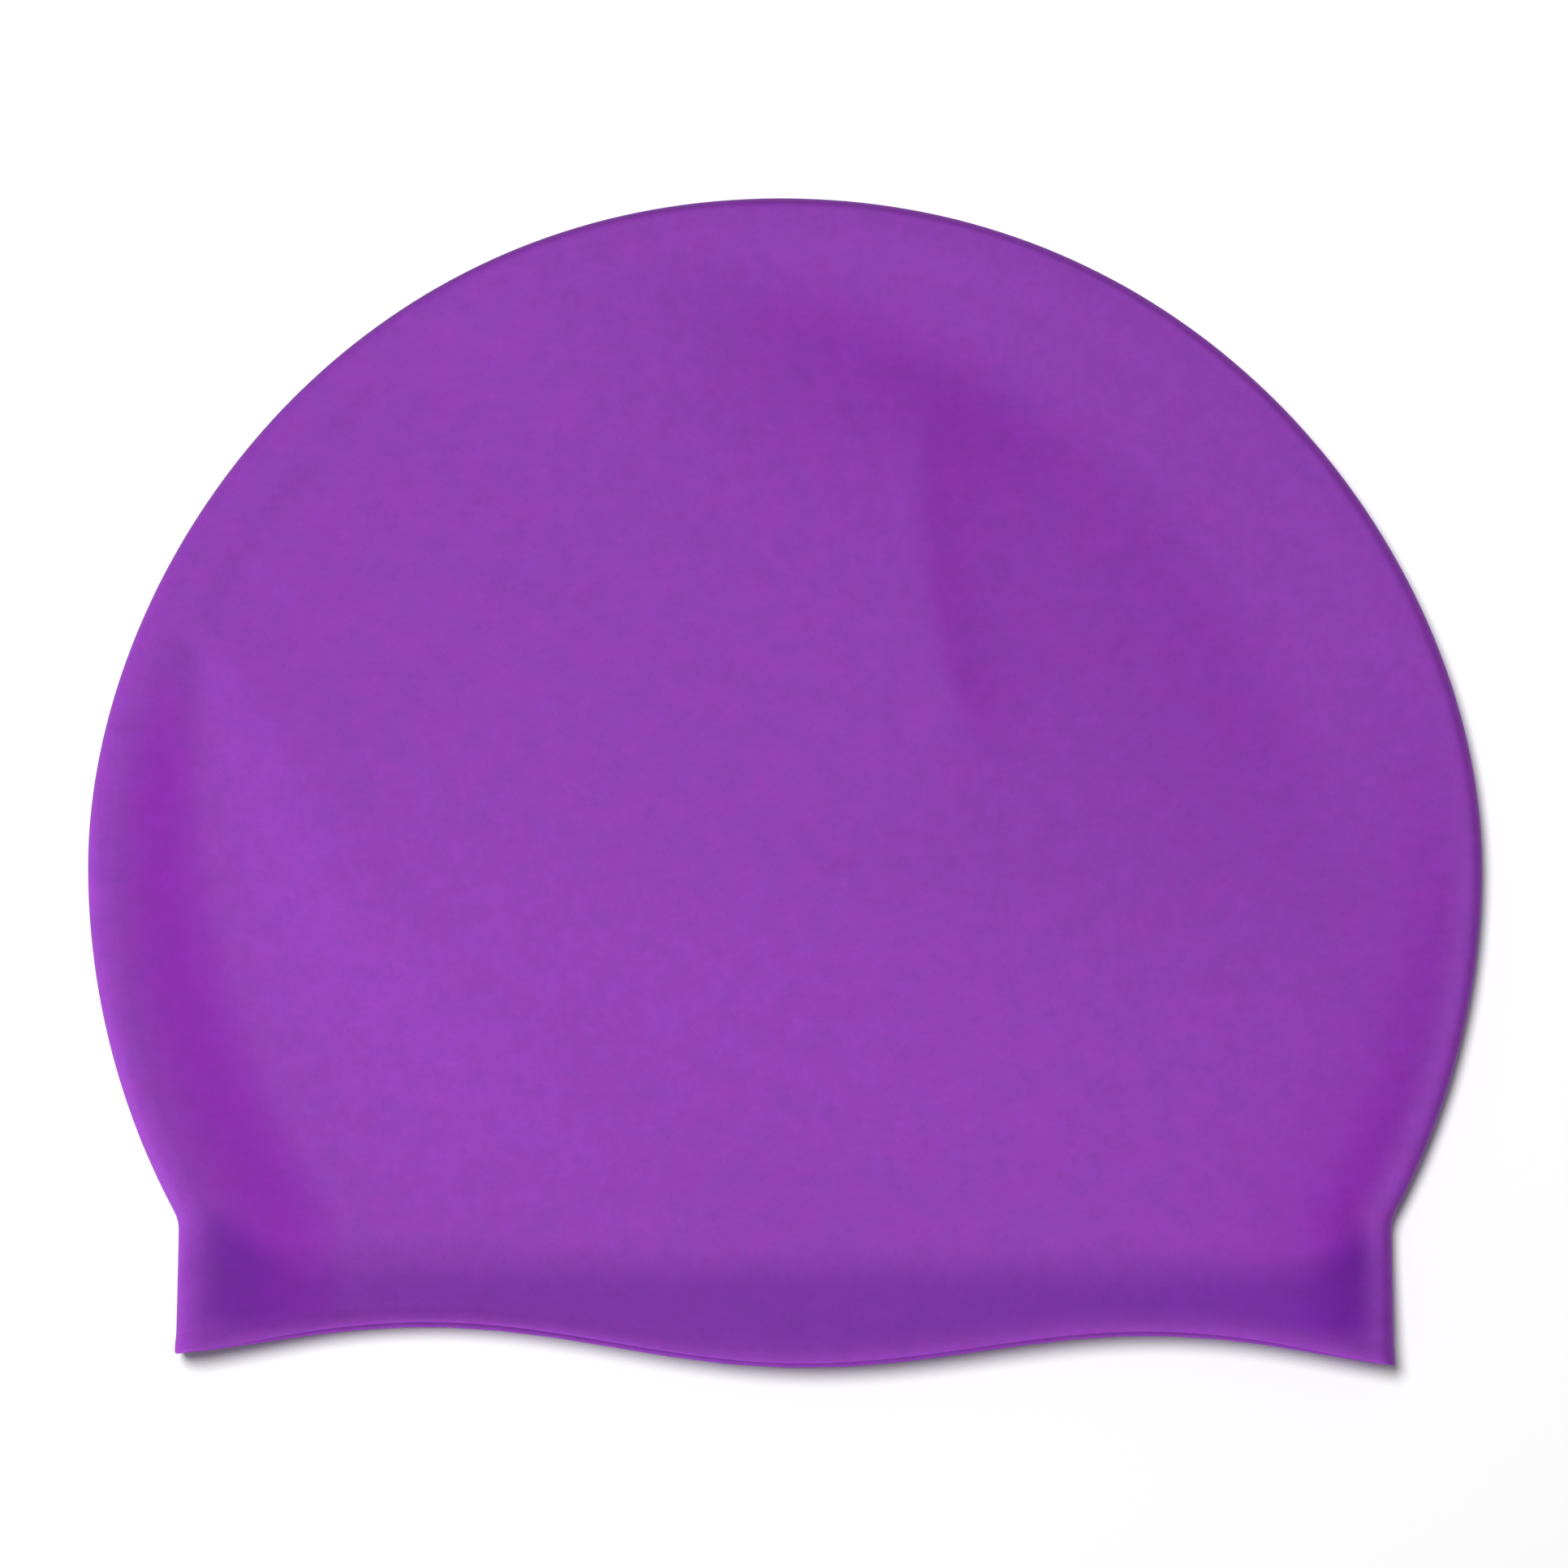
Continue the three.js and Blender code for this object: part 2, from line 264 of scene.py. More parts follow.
class Number:
    """A number socket of a node tree, on which arithmetic adds Math nodes."""

    def __init__(self, graph, socket):
        self.graph = graph
        self.socket = socket

    def math(self, operation, *others):
        inputs = dict(enumerate((self, *others)))
        return self.graph.number("ShaderNodeMath", {"operation": operation}, inputs)

    def __add__(self, other):
        return self.math("ADD", other)

    __radd__ = __add__

    def __sub__(self, other):
        return self.math("SUBTRACT", other)

    def __rsub__(self, other):
        return -self + other

    def __mul__(self, other):
        return self.math("MULTIPLY", other)

    __rmul__ = __mul__

    def __truediv__(self, other):
        return self.math("DIVIDE", other)

    def __pow__(self, other):
        return self.math("POWER", other)

    def __neg__(self):
        return self * -1.0


class Graph:
    """A node tree written from Python."""

    def __init__(self, tree):
        self.tree = tree

    def node(self, kind, settings=None, inputs=None):
        """Add a node: its settings first, then the values or links of its sockets."""
        node = self.tree.nodes.new(kind)
        for name, value in (settings or {}).items():
            setattr(node, name, value)
        for key, value in (inputs or {}).items():
            self.feed(node.inputs[key], value)
        return node

    def feed(self, socket, value):
        """Link a socket to another or to a number's, or set its value."""
        if isinstance(value, Number):
            value = value.socket
        if isinstance(value, bpy.types.NodeSocket):
            self.tree.links.new(value, socket)
        else:
            socket.default_value = value

    def number(self, kind, settings=None, inputs=None, output=0):
        """Add a node and take one of its outputs as a number."""
        return Number(self, self.node(kind, settings, inputs).outputs[output])

    def split(self, vector):
        """The three parts of a vector socket, as numbers."""
        parts = self.node("ShaderNodeSeparateXYZ", None, {0: vector}).outputs
        return tuple(Number(self, part) for part in parts)

    def join(self, x, y, z):
        """A vector socket made of three numbers."""
        return self.node("ShaderNodeCombineXYZ", None, {0: x, 1: y, 2: z}).outputs[0]

    def scale(self, vector, factor):
        """A vector socket times a number."""
        settings = {"operation": "SCALE"}
        return self.node("ShaderNodeVectorMath", settings, {"Vector": vector, "Scale": factor}).outputs[0]

    def blend(self, first, second, share):
        """One colour run into another."""
        settings = {"data_type": "RGBA", "clamp_factor": True}
        node = self.node("ShaderNodeMix", settings, {"Factor": share})
        self.feed(node.inputs[6], first)
        self.feed(node.inputs[7], second)
        return node.outputs[2]


def least(first, second):
    return first.math("MINIMUM", second)


def most(first, second):
    return first.math("MAXIMUM", second)


def held(value):
    """A number kept between 0 and 1."""
    return least(most(value, 0.0), 1.0)


def mix(first, second, share):
    return share * (second - first) + first


def ease(value):
    """A smooth step from 0 to 1."""
    share = held(value)
    return share * share * (3.0 - share * 2.0)


def outline_knots(sizes, neck_drop, hem_drop):
    """Bezier knots of the outline's right half, from the mouth's corner to the
    top of the crown: each a point with the handles before and after it."""
    half_width = sizes.crown_width / 2
    half_neck = half_width - sizes.neck_inset
    hem = Vector((half_neck + sizes.band_flare, -hem_drop))
    neck = Vector((half_neck, -neck_drop))
    band_top = neck.lerp(hem, sizes.neck_rounding / (neck - hem).length)
    radius = sizes.lower_crown_radius
    angle = math.asin((neck_drop - sizes.neck_rounding) / radius)
    lower = Vector((half_width * math.cos(angle), -radius * math.sin(angle)))
    lower_way = Vector((half_width * math.sin(angle), radius * math.cos(angle)))
    arc = 4 / 3 * math.tan(angle / 4)
    widest = Vector((half_width, 0))
    top = Vector((0, sizes.crown_rise))
    top_handle = Vector((sizes.crown_top_handle * half_width, 0))
    side_handle = Vector((0, sizes.crown_side_handle * sizes.crown_rise))
    return [
        (hem, hem, hem.lerp(band_top, 1 / 3)),
        (band_top, band_top.lerp(hem, 1 / 3), band_top.lerp(neck, 2 / 3)),
        (lower, lower.lerp(neck, 2 / 3), lower + lower_way * arc),
        (widest, widest - Vector((0, arc * radius)), widest + side_handle),
        (top, top + top_handle, top - top_handle),
    ]


def outline_curve(sizes, neck_drop, hem_drop):
    """The cap's outline in plan, as one open Bezier curve from the mouth's
    right corner round the crown to its left corner."""
    right = outline_knots(sizes, neck_drop, hem_drop)
    left = [tuple(Vector((-place.x, place.y)) for place in (point, after, before))
            for point, before, after in reversed(right[:-1])]
    data = bpy.data.curves.new("Outline", "CURVE")
    data.dimensions = "3D"
    data.resolution_u = OUTLINE_STEPS
    spline = data.splines.new("BEZIER")
    spline.bezier_points.add(len(right) + len(left) - 1)
    for knot, (point, before, after) in zip(spline.bezier_points, right + left):
        knot.handle_left_type = "FREE"
        knot.handle_right_type = "FREE"
        knot.co = point.to_3d()
        knot.handle_left = before.to_3d()
        knot.handle_right = after.to_3d()
    outline = bpy.data.objects.new("Outline", data)
    bpy.context.scene.collection.objects.link(outline)
    return outline


class ShellTree:
    """The Geometry Nodes tree that moulds the cap along its outline."""

    NAME = "Swim Cap Shell"

    # Columns run from the top layer's spine to the roll, round it, and back
    # to the underside's spine. These are the shares of them where the roll
    # starts and ends, and how much closer they stand near the roll.
    ROLL_START = 0.70
    ROLL_END = 0.90
    TOP_CROWDING = 1.12
    UNDERSIDE_CROWDING = 1.4

    # Rows run from the mouth's right corner round the crown to its left one.
    # These are the share of each half that lies in the band, how much closer
    # rows stand at the band's ends, and how much closer at the neck than at
    # the top of the crown.
    BAND_ROWS = 0.20
    BAND_CROWDING = 0.8
    CROWN_CROWDING = 1.5

    # How near to each other points are merged, at the spine and along the
    # wall's edge
    SPINE_MERGE = 0.01 * MM
    EDGE_MERGE = 0.001 * MM

    # Half the neck's width, as a share of half the crown's, and how late the
    # upper lip's setback runs out towards it
    NECK_SHARE = 0.87
    SETBACK_POWER = 4.0

    # How far in from the rim's crest rows bend round to face the spine
    BEND_LENGTH = 21 * MM

    # Over what length the band's painted shade sets in, and how wide and how high
    # it climbs beside the rim, on the left and on the right
    BAND_ONSET = 7.5 * MM
    LEFT_CORNER_WIDTH = 18 * MM
    RIGHT_CORNER_WIDTH = 12 * MM
    LEFT_CORNER_RISE = 9 * MM
    RIGHT_CORNER_RISE = 5.5 * MM

    # Over how many rim widths in from the outline the band's painted shade sets in
    RIM_ONSET = 2.0

    # How strong the band's painted shade is on the left and on the right, as shares
    LEFT_BAND = 0.45
    RIGHT_BAND = 1.0

    # How far from the mouth's edge the unshaded lip starts to take the band's
    # painted shade, and over what length, in the middle and at the mouth's corners
    LIP_START = 0.6 * MM
    LIP_TONE = 4.2 * MM
    CORNER_LIP_TONE = 6 * MM

    # How near to the mouth's edge the lip's bead is highest, below 1 for nearer
    # than the middle of its width
    BEAD_LEAN = 0.6

    # How gradually the band bends up, as a share of the part that rises
    BEND_SOFTNESS = 0.12

    # How far inside the rim's crest the creases reach their full height, how
    # quickly they set in at their ends, and over how many times its softness
    # a crease's painted shade fades at its line
    CREASE_MARGIN = 9 * MM
    CREASE_ENDS = 1.8
    CREASE_TONE = 3.0

    # How much the crown is domed right from its rim, all round and at the
    # upper right, and how steeply and how late the one turns into the other
    # from left to right
    ROUNDNESS = 0.2
    UPPER_ROUNDNESS = 1.0
    DOMING_SLOPE = 1.5
    DOMING_DELAY = 0.25

    # How the valley widens and deepens down to the neck, as a power below 1
    # for quickly at first, and the least length that it has grown over
    VALLEY_GROWTH = 0.4
    LEAST_GROWN = 0.02 * MM

    # How the valley falls from the rim's crest where it starts, how late the
    # fall levels out at the neck, and how soon it takes that form
    VALLEY_FALL = 1.2
    LOWER_VALLEY_FALL = 3.0
    LOWER_VALLEY_ONSET = 2.2

    # How many times as wide as its outer side the valley's inner side is,
    # where it starts and at the neck, and how late the one turns into the other
    VALLEY_RISE = 1.2
    LOWER_VALLEY_RISE = 2.8
    VALLEY_RISE_GROWTH = 1.5

    # The valley ends in the last of so many parts of the way to the spine
    SPINE_PARTS = 4.0

    # How much of the valley is lost at the mouth
    VALLEY_FADE = 0.4

    # How late the shoulder grows down to the neck, and how soon below its
    # start the valley's painted shade is at its darkest
    SHOULDER_GROWTH = 1.3
    PAINTED_SHADE_ONSET = 4.0

    def __init__(self, lengths):
        self.tree = bpy.data.node_groups.new(self.NAME, "GeometryNodeTree")
        self.graph = Graph(self.tree)
        sockets = {"Outline": "Object", "Silicone": "Material", "Rows": "Int", "Columns": "Int"}
        sockets.update(dict.fromkeys(lengths, "Float"))
        self.tree.interface.new_socket("Geometry", in_out="INPUT", socket_type="NodeSocketGeometry")
        for name, kind in sockets.items():
            self.tree.interface.new_socket(name, in_out="INPUT", socket_type="NodeSocket" + kind)
        self.tree.interface.new_socket("Geometry", in_out="OUTPUT", socket_type="NodeSocketGeometry")
        self.given = self.graph.node("NodeGroupInput").outputs
        self.build()

    def size(self, name):
        return Number(self.graph, self.given[name])

    def rightward(self, x):
        """How far to the right a place lies, from 0 at the left flank to 1."""
        return held(x / self.size("Half width") * 0.5 + 0.5)

    def build(self):
        graph = self.graph
        grid = graph.node("GeometryNodeMeshGrid", None, {
            "Size X": 1.0, "Size Y": 1.0,
            "Vertices X": self.given["Columns"], "Vertices Y": self.given["Rows"],
        })
        place, setback, thick, rich = self.skin()
        marked = self.store(grid.outputs["Mesh"], "setback", "FLOAT", setback)
        marked = self.store(marked, "thick", "FLOAT", thick)
        marked = self.store(marked, "rich", "FLOAT", rich)
        skin = graph.node("GeometryNodeSetPosition", None, {"Geometry": marked, "Position": place})
        merged = graph.node("GeometryNodeMergeByDistance", None, {
            "Geometry": skin.outputs[0], "Distance": self.SPINE_MERGE,
        })
        walled = self.walls(merged.outputs[0])
        smooth = graph.node("GeometryNodeSetShadeSmooth", None, {"Geometry": walled})
        whole = graph.node("GeometryNodeRealizeInstances", None, {"Geometry": smooth.outputs[0]})
        dressed = graph.node("GeometryNodeSetMaterial", None, {
            "Geometry": whole.outputs[0], "Material": self.given["Silicone"],
        })
        graph.node("NodeGroupOutput", None, {0: dressed.outputs[0]})

    def store(self, geometry, name, kind, value):
        """Keep a value at each point of a mesh, under a name."""
        settings = {"data_type": kind, "domain": "POINT"}
        inputs = {"Geometry": geometry, "Name": name, "Value": value}
        return self.graph.node("GeometryNodeStoreNamedAttribute", settings, inputs).outputs[0]

    def stored(self, name, kind):
        """A value that was kept at each point."""
        settings = {"data_type": kind}
        return self.graph.node("GeometryNodeInputNamedAttribute", settings, {"Name": name}).outputs[0]

    def edge_of_row(self, row):
        """Where a row starts on the outline, the way along it, and the row's
        distance along it from the nearer corner of the mouth."""
        graph = self.graph
        outline = graph.node("GeometryNodeObjectInfo", None, {"Object": self.given["Outline"]})
        curve = outline.outputs["Geometry"]
        length = graph.number("GeometryNodeCurveLength", None, {"Curve": curve})
        near = 1.0 - (row * 2.0 - 1.0).math("ABSOLUTE")
        band_depth = self.size("Band depth")
        in_band = held(near / self.BAND_ROWS)
        in_crown = held((near - self.BAND_ROWS) / (1.0 - self.BAND_ROWS))
        band_walk = band_depth * mix(in_band, ease(in_band), self.BAND_CROWDING)
        walk = band_walk + (length * 0.5 - band_depth) * in_crown ** self.CROWN_CROWDING
        right = row.math("LESS_THAN", 0.5)
        place = right * walk + (1.0 - right) * (length - walk)
        sample = graph.node("GeometryNodeSampleCurve", {"mode": "LENGTH", "use_all_curves": True}, {
            "Curves": curve, "Length": place,
        })
        return sample.outputs["Position"], sample.outputs["Tangent"], walk

    def skin(self):
        """The outer skin over a grid, whose Y runs along the outline and whose
        X runs round the rim, the distance back from the mouth's edge, how
        strong the band's painted shade is, from 0 in the crown to 1 in the band,
        and how strong the painted shade is in the hollows."""
        graph = self.graph
        grid_x, grid_y, _ = graph.split(graph.node("GeometryNodeInputPosition").outputs[0])
        column = grid_x + 0.5
        edge, tangent, walk = self.edge_of_row(grid_y + 0.5)
        edge_x, edge_y, _ = graph.split(edge)
        way_x, way_y, _ = graph.split(tangent)
        band = most(1.0 - walk / self.size("Band depth"), 0.0)

        # The spine lies on x = 0 and ends at the middle of the widest line
        neck_drop = self.size("Neck drop")
        line_drop = self.size("Neck line drop")
        hem_drop = self.size("Hem drop")
        crown_y = least(most(edge_y, -neck_drop), 0.0)
        spine_y = crown_y * line_drop / neck_drop - (hem_drop - line_drop) * band
        down = edge_y - spine_y
        reach = (edge_x * edge_x + down * down).math("SQRT")

        # The roll is widest on the left and narrowest at the top of the crown
        rightward = self.rightward(edge_x)
        topward = ease(edge_y / self.size("Crown rise"))
        rim = mix(self.size("Rim width, left"), self.size("Rim width, right"), rightward)
        rim = mix(rim, self.size("Rim width, top"), topward)
        on_top = held(1.0 - column / self.ROLL_START) ** self.TOP_CROWDING
        on_underside = held((column - self.ROLL_END) / (1.0 - self.ROLL_END)) ** self.UNDERSIDE_CROWDING
        flat = on_top + on_underside
        rolled = held((column - self.ROLL_START) / (self.ROLL_END - self.ROLL_START))
        angle = math.pi / 2 - rolled * math.pi
        turn = angle.math("SINE")
        outwards = angle.math("COSINE")
        square = self.size("Rim squareness")
        upwards = turn.math("SIGN") * turn.math("ABSOLUTE") ** square
        inset = rim * (1.0 - most(outwards, 0.0) ** square) + (reach - rim) * flat

        # In plan a row leaves the outline squarely and bends to its spine point
        share = inset / reach
        bend = ease(inset / (rim + self.BEND_LENGTH))
        lean = self.size("Crown lean") * (most(edge_y, 0.0) / self.size("Crown rise")) ** 2.0
        x = mix(edge_x + lean - way_y * inset, (edge_x + lean) * (1.0 - share), bend)
        y = mix(edge_y + way_x * inset, edge_y - down * share, bend)
        y = y + band * self.mouth_wave(x, turn)

        # Distances back from the mouth's edge are longer in the middle
        across = most(inset - rim, 0.0) / (reach - rim)
        band_depth = mix(self.size("Band depth"), hem_drop - line_drop, across)
        setback = (1.0 - band) * band_depth

        # The band bends up along a straight line, to stand higher at the mouth
        rising = hem_drop - self.size("Band bend")
        risen = most(1.0 - setback / rising, 0.0)
        risen = risen * risen / (risen + self.BEND_SOFTNESS) * (1.0 + self.BEND_SOFTNESS)
        rim_half_height = (self.size("Rim height") + self.size("Mouth rise") * risen) * 0.5

        upper = column.math("LESS_THAN", (self.ROLL_START + self.ROLL_END) / 2)
        relief, rich = self.relief(x, y, edge_y, rightward, inset - rim, across, spine_y, band)
        height = rim_half_height * (upwards + 1.0) + upper * relief
        lift = self.lip_bead(setback) * (turn + 1.0) * 0.5
        sideways = edge_x.math("SIGN") * outwards
        place = graph.join(x + sideways * lift, y + self.size("Widest line"), height + turn * lift)

        # Painted shade on the band, from its bend on and a little above
        # that near the rim, but not on the rim or the lip
        corner_width = mix(self.LEFT_CORNER_WIDTH, self.RIGHT_CORNER_WIDTH, rightward)
        corner_rise = mix(self.LEFT_CORNER_RISE, self.RIGHT_CORNER_RISE, rightward)
        corner = 1.0 - ease((inset - rim) / corner_width)
        thick = ease((corner * corner_rise - y - self.size("Band bend")) / self.BAND_ONSET)
        thick = thick * mix(self.LEFT_BAND, self.RIGHT_BAND, held(self.rightward(x) + corner))
        lip = mix(self.LIP_TONE, self.CORNER_LIP_TONE, corner * corner)
        unshaded_lip = 1.0 - ease((setback - self.LIP_START) / lip)
        thick = thick * ease(inset / (rim * self.RIM_ONSET)) * (1.0 - unshaded_lip)
        return place, setback, thick, rich * upper * (1.0 - unshaded_lip)

    def mouth_wave(self, x, turn):
        """The mouth edge's wave, its tilt and how far the lips lie apart in plan."""
        phase = (x - self.size("Wave shift")) / self.size("Wave length") * math.tau
        wave = self.size("Wave height") * phase.math("COSINE")
        tilt = x * self.size("Mouth tilt").math("TANGENT")
        lower = self.size("Lower lip reach") * (1.0 - turn) * 0.5
        power = self.SETBACK_POWER
        corner = (x / self.size("Half width")) ** power / self.NECK_SHARE ** power
        upper = self.size("Upper lip setback") * (turn + 1.0) * 0.5 * most(1.0 - corner, 0.0)
        return upper - wave - tilt - lower

    def relief(self, x, y, edge_y, rightward, inside, across, spine_y, band):
        """How far the top layer lies above the rim's crest, and how strong
        the painted shade is in the hollows."""
        fall = ease(-spine_y / self.size("Neck line drop"))
        crown = mix(self.size("Crown swell"), self.size("Neck line swell"), fall)
        spine = mix(crown, self.size("Mouth swell"), band * band)
        away = 1.0 - across
        domed = ease(rightward * self.DOMING_SLOPE - self.DOMING_DELAY)
        upper_right = ease(edge_y / self.size("Crown rise")) * domed
        roundness = mix(self.ROUNDNESS, self.UPPER_ROUNDNESS, upper_right)
        swell = spine * mix(ease(across), 1.0 - away * away, roundness)
        from_rim = most(inside, 0.0)
        keep = 1.0 - band ** 2.0
        valley, shoulder, painted_shade_sides = self.sides(from_rim, edge_y, rightward, across)
        creases, painted_shade_creases = self.creases(x, y)
        margin = ease(from_rim / self.CREASE_MARGIN)
        valley = valley * (1.0 - band * band * self.VALLEY_FADE)
        height = swell + (creases * margin + shoulder) * keep - valley
        return height, held(painted_shade_sides + painted_shade_creases * margin)

    def sides(self, from_rim, edge_y, rightward, across):
        """The valley just inside the left rim and the shoulder just inside the
        right one, and how strong the painted shade is in both. They start above the
        widest line and grow down to the neck."""
        start = self.size("Valley start")
        grown = most(start - edge_y, self.LEAST_GROWN) / (self.size("Neck drop") + start)
        width = self.size("Valley width") * grown ** self.VALLEY_GROWTH
        share = held(from_rim / width)

        # The share that brings the fall to level just at the valley's bottom
        levelling = 1 / (self.LOWER_VALLEY_FALL + 1)
        lower_down = share * (1.0 - share ** self.LOWER_VALLEY_FALL * levelling) / (1 - levelling)
        down = mix(share ** self.VALLEY_FALL, lower_down, ease(grown * self.LOWER_VALLEY_ONSET))
        rise = mix(self.VALLEY_RISE, self.LOWER_VALLEY_RISE, held(grown) ** self.VALLEY_RISE_GROWTH)

        # Whatever is left of the valley ends before the spine
        ended = ease(across * self.SPINE_PARTS - (self.SPINE_PARTS - 1))
        up = most(ease((from_rim - width) / (width * rise)), ended)
        left = ease(1.0 - rightward * 2.0)
        depth = self.size("Valley depth") * grown ** self.VALLEY_GROWTH
        valley = depth * left * down * (1.0 - up)
        square = (from_rim / self.size("Shoulder width")) ** 2.0
        right = ease(rightward * 2.0 - 1.0)
        height = self.size("Shoulder height") * grown ** self.SHOULDER_GROWTH
        shoulder = height * right * square / (square + 1.0)

        # Painted shade in the valley and inside the shoulder
        # Both reach a quarter at the most
        painted_shade_left = left * ease(grown * self.PAINTED_SHADE_ONSET) * share * (1.0 - share)
        painted_shade_right = right * held(grown) * square / ((square + 1.0) * (square + 1.0))
        return valley, shoulder * (1.0 - ease(across)), (painted_shade_left + painted_shade_right) * 4.0

    def creases(self, x, y):
        """The soft creases as one height, and how strong the painted shade is beside them."""
        half_width = self.size("Half width")
        relief = 0.0
        rich = 0.0
        for crease in CREASES:
            middle = math.radians((crease["start"] + crease["end"]) / 2)
            spread = math.radians((crease["end"] - crease["start"]) / 2)
            away_x = x / half_width - crease["x"]
            away_y = y / half_width - crease["y"]
            ahead = away_x * math.cos(middle) + away_y * math.sin(middle)
            beside = away_y * math.cos(middle) - away_x * math.sin(middle)
            swung = beside.math("ARCTAN2", ahead).math("ABSOLUTE")
            fade = ease((1.0 - swung / spread) * self.CREASE_ENDS)
            off = (ahead * ahead + beside * beside).math("SQRT") - crease["radius"]
            width = mix(crease["inside"], crease["outside"], off.math("GREATER_THAN", 0.0))
            soft = crease["soft"]
            steps = ((off * off + soft * soft).math("SQRT") - soft) / width
            bump = (-steps).math("EXPONENT") * fade
            relief = bump * crease["height"] + relief
            if crease["rich"]:
                # Painted shade on the crease's inner side
                inner = 1.0 - ease(off / (soft * self.CREASE_TONE) + 0.5)
                rich = bump * inner * crease["rich"] + rich
        return relief * self.size("Crown swell"), rich

    def lip_bead(self, setback):
        """How far the bead along the lip stands proud."""
        share = held(setback / self.size("Lip width"))
        return self.size("Lip lift") * (share ** self.BEAD_LEAN * math.pi).math("SINE")

    def lip_edge(self, setback):
        """How much the lip's rounded edge takes off each face of the wall."""
        radius = self.size("Lip rounding")
        short = most(radius - setback, 0.0)
        return radius - (radius * radius - short * short).math("SQRT")

    def walls(self, skin):
        """Give the open skin its wall inwards and close the wall's edge."""
        graph = self.graph
        normal = graph.node("GeometryNodeInputNormal").outputs[0]
        marked = self.store(skin, "outward", "FLOAT_VECTOR", normal)
        setback = Number(graph, self.stored("setback", "FLOAT"))
        outward = self.stored("outward", "FLOAT_VECTOR")
        taken = self.lip_edge(setback)
        thick = mix(self.size("Lip thickness"), self.size("Wall"), ease(setback / self.size("Lip width")))
        outer = graph.node("GeometryNodeSetPosition", None, {
            "Geometry": marked, "Offset": graph.scale(outward, -taken),
        }).outputs[0]
        extruded = graph.node("GeometryNodeExtrudeMesh", {"mode": "FACES"}, {
            "Mesh": outer, "Offset Scale": 0.0, "Individual": False,
        })
        inner = graph.node("GeometryNodeSetPosition", None, {
            "Geometry": extruded.outputs["Mesh"], "Selection": extruded.outputs["Top"],
            "Offset": graph.scale(outward, taken * 2.0 - thick),
        })
        turned = graph.node("GeometryNodeFlipFaces", None, {"Mesh": inner.outputs[0]})
        both = graph.node("GeometryNodeJoinGeometry")
        graph.feed(both.inputs[0], outer)
        graph.feed(both.inputs[0], turned.outputs[0])
        return graph.node("GeometryNodeMergeByDistance", None, {
            "Geometry": both.outputs[0], "Distance": self.EDGE_MERGE,
        }).outputs[0]


def shell_lengths(sizes):
    """The tree's number inputs, from the sizes that the user sets."""
    half_width = sizes.crown_width / 2
    half_neck = half_width - sizes.neck_inset
    neck_drop = sizes.lower_crown_radius * math.sqrt(1 - (half_neck / half_width) ** 2)
    names = (
        "crown_rise", "crown_lean", "neck_line_drop", "band_depth", "wave_height", "wave_length",
        "wave_shift", "mouth_tilt", "lower_lip_reach", "upper_lip_setback", "rim_height", "rim_width_left",
        "rim_width_right", "rim_width_top", "crown_swell", "neck_line_swell", "mouth_swell",
        "mouth_rise", "band_bend", "valley_start", "valley_depth", "valley_width",
        "shoulder_height", "shoulder_width", "rim_squareness", "wall", "lip_thickness",
        "lip_width", "lip_lift", "lip_rounding",
    )
    properties = sizes.bl_rna.properties
    lengths = {properties[name].name: getattr(sizes, name) for name in names}
    lengths["Half width"] = half_width
    lengths["Neck drop"] = neck_drop
    lengths["Hem drop"] = neck_drop + sizes.band_depth
    lengths["Widest line"] = SHELL_HIGH.y - sizes.crown_rise
    return lengths


def evaluated_mesh(name, tree, inputs):
    """The mesh that a Geometry Nodes tree makes, as an object of its own."""
    piece = bpy.data.objects.new(name, bpy.data.meshes.new(name))
    bpy.context.scene.collection.objects.link(piece)
    modifier = piece.modifiers.new("Nodes", "NODES")
    modifier.node_group = tree
    for item in tree.interface.items_tree:
        if item.item_type == "SOCKET" and item.in_out == "INPUT" and item.name in inputs:
            modifier[item.identifier] = inputs[item.name]
    depsgraph = bpy.context.evaluated_depsgraph_get()
    mesh = bpy.data.meshes.new_from_object(
        piece.evaluated_get(depsgraph), preserve_all_data_layers=True, depsgraph=depsgraph)
    piece.modifiers.remove(modifier)
    host = piece.data
    piece.data = mesh
    mesh.name = name
    bpy.data.meshes.remove(host)
    if not mesh.polygons:
        raise RuntimeError(name + " has no faces")
    return piece


def empty_material(name):
    """A new material without nodes, and the graph that takes them."""
    material = bpy.data.materials.new(name)
    material.use_nodes = True
    material.node_tree.nodes.clear()
    return material, Graph(material.node_tree)


def noise(graph, place, size, detail):
    """Noise whose largest specks have a size in metres."""
    return graph.number("ShaderNodeTexNoise", None, {"Vector": place, "Scale": 1 / size, **detail})


